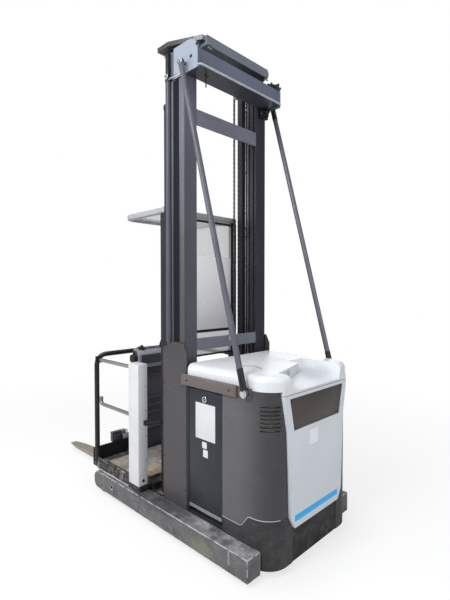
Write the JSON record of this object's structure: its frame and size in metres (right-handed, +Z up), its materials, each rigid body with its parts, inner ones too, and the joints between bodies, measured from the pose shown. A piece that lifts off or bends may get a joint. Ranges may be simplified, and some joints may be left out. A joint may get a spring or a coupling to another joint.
{
  "type": "order picker truck",
  "caption": "Battery order picker truck with wheel legs, a tall two-stage mast with diagonal stays, and a rising operator cab with overhead guard, side gates and forks.",
  "frame": {"origin": "on the floor, at the middle of the box around the truck with its cab lowered", "axes": "+X towards the forks, +Y to the left, +Z up"},
  "size_m": [2.88, 1.14, 3.436],
  "materials": {
    "chassis_paint": "satin dark grey paint, scuffed and dusty",
    "black_paint": "satin black paint",
    "mast_paint": "dark grey paint on rolled steel, worn bright on the tracks",
    "cover_white": "pale grey-white moulded covers, lightly soiled",
    "door_paint": "dark blue-grey paint",
    "bar_paint": "brown-grey paint, dusty",
    "battery_grey": "plain grey",
    "plated_steel": "dull plated steel",
    "chain_steel": "oiled chain steel",
    "wheel_tyre": "worn solid wheel material",
    "floor_mat": "worn tan floor mat",
    "guard_grey": "grey paint",
    "clear_pane": "clear pane, scratched",
    "console_plastic": "grained grey plastic",
    "fork_steel": "worn beige steel"
  },
  "bodies": {
    "chassis": {"chassis_frame": "chassis_paint", "support_leg_left": "chassis_paint", "support_leg_right": "chassis_paint", "battery": "battery_grey", "drive_motor": "battery_grey", "side_shell_left": "chassis_paint", "side_shell_right": "chassis_paint", "skirt_left": "chassis_paint", "skirt_right": "chassis_paint", "skirt_centre": "black_paint", "rear_cover": "cover_white", "side_bar_left": "bar_paint", "side_bar_right": "bar_paint", "stay_left": "chassis_paint", "stay_right": "chassis_paint", "mast_cover_left": "chassis_paint", "mast_cover_right": "chassis_paint", "outer_upright_left": "mast_paint", "outer_upright_right": "mast_paint", "mast_crossbar_upper": "mast_paint", "mast_crossbar_lower": "mast_paint", "mast_head": "mast_paint", "lift_cylinder_left": "black_paint", "lift_cylinder_right": "black_paint"},
    "steering": {"steer_yoke": "plated_steel"},
    "drive_wheel": {"drive_wheel": "wheel_tyre"},
    "load_wheel_left": {"load_wheel_left": "wheel_tyre"},
    "load_wheel_right": {"load_wheel_right": "wheel_tyre"},
    "hood": {"hood": "cover_white"},
    "battery_door_left": {"battery_door_left": "door_paint"},
    "battery_door_right": {"battery_door_right": "door_paint"},
    "mast_stage": {"inner_upright_left": "mast_paint", "inner_upright_right": "mast_paint", "inner_head": "mast_paint", "inner_crossbar": "mast_paint", "lift_rod_left": "plated_steel", "lift_rod_right": "plated_steel", "lift_chain_left": "chain_steel", "lift_chain_right": "chain_steel"},
    "cab": {"cab_floor": "black_paint", "floor_mat": "floor_mat", "cab_carriage": "black_paint", "guard_pillar_left": "black_paint", "guard_pillar_right": "black_paint", "overhead_guard": "guard_grey", "guard_pane": "clear_pane", "back_screen": "clear_pane", "fork_carriage": "black_paint", "front_rail": "black_paint", "front_column": "black_paint", "console": "console_plastic", "fork_left": "fork_steel", "fork_right": "fork_steel", "gate_post_left": "cover_white", "gate_post_right": "cover_white"},
    "gate_left": {"gate_left": "plated_steel"},
    "gate_right": {"gate_right": "plated_steel"}
  },
  "joints": [
    {"name": "mast_lift", "type": "slide", "parent": "chassis", "child": "mast_stage", "axis": [0, 0, 1], "range_m": [0, 2.4]},
    {"name": "cab_lift", "type": "slide", "parent": "mast_stage", "child": "cab", "axis": [0, 0, 1], "range_m": [0, 2.4]},
    {"name": "steering", "type": "hinge", "parent": "chassis", "child": "steering", "pos_m": [-1.215, 0, 0.345], "axis": [0, 0, 1], "range_deg": [-90, 90]},
    {"name": "drive_wheel_spin", "type": "hinge", "parent": "steering", "child": "drive_wheel", "pos_m": [-1.215, 0, 0.125], "axis": [0, 1, 0], "continuous": true},
    {"name": "load_wheel_left_spin", "type": "hinge", "parent": "chassis", "child": "load_wheel_left", "pos_m": [0.29, 0.5125, 0.07], "axis": [0, 1, 0], "continuous": true},
    {"name": "load_wheel_right_spin", "type": "hinge", "parent": "chassis", "child": "load_wheel_right", "pos_m": [0.29, -0.5125, 0.07], "axis": [0, 1, 0], "continuous": true},
    {"name": "hood_hinge", "type": "hinge", "parent": "chassis", "child": "hood", "pos_m": [-0.698, 0, 1.18], "axis": [0, 1, 0], "range_deg": [0, 60]},
    {"name": "battery_door_left_hinge", "type": "hinge", "parent": "chassis", "child": "battery_door_left", "pos_m": [-0.8685, 0.424, 0.228], "axis": [-1, 0, 0], "range_deg": [0, 80]},
    {"name": "battery_door_right_hinge", "type": "hinge", "parent": "chassis", "child": "battery_door_right", "pos_m": [-0.8685, -0.424, 0.228], "axis": [1, 0, 0], "range_deg": [0, 80]},
    {"name": "gate_left_hinge", "type": "hinge", "parent": "cab", "child": "gate_left", "pos_m": [-0.172, 0.522, 1.098], "axis": [0, 0, -1], "range_deg": [0, 70]},
    {"name": "gate_right_hinge", "type": "hinge", "parent": "cab", "child": "gate_right", "pos_m": [-0.172, -0.522, 1.098], "axis": [0, 0, 1], "range_deg": [0, 70]}
  ],
  "couplings": [
    {"joint": "cab_lift", "follows": "mast_lift", "ratio": 1}
  ]
}
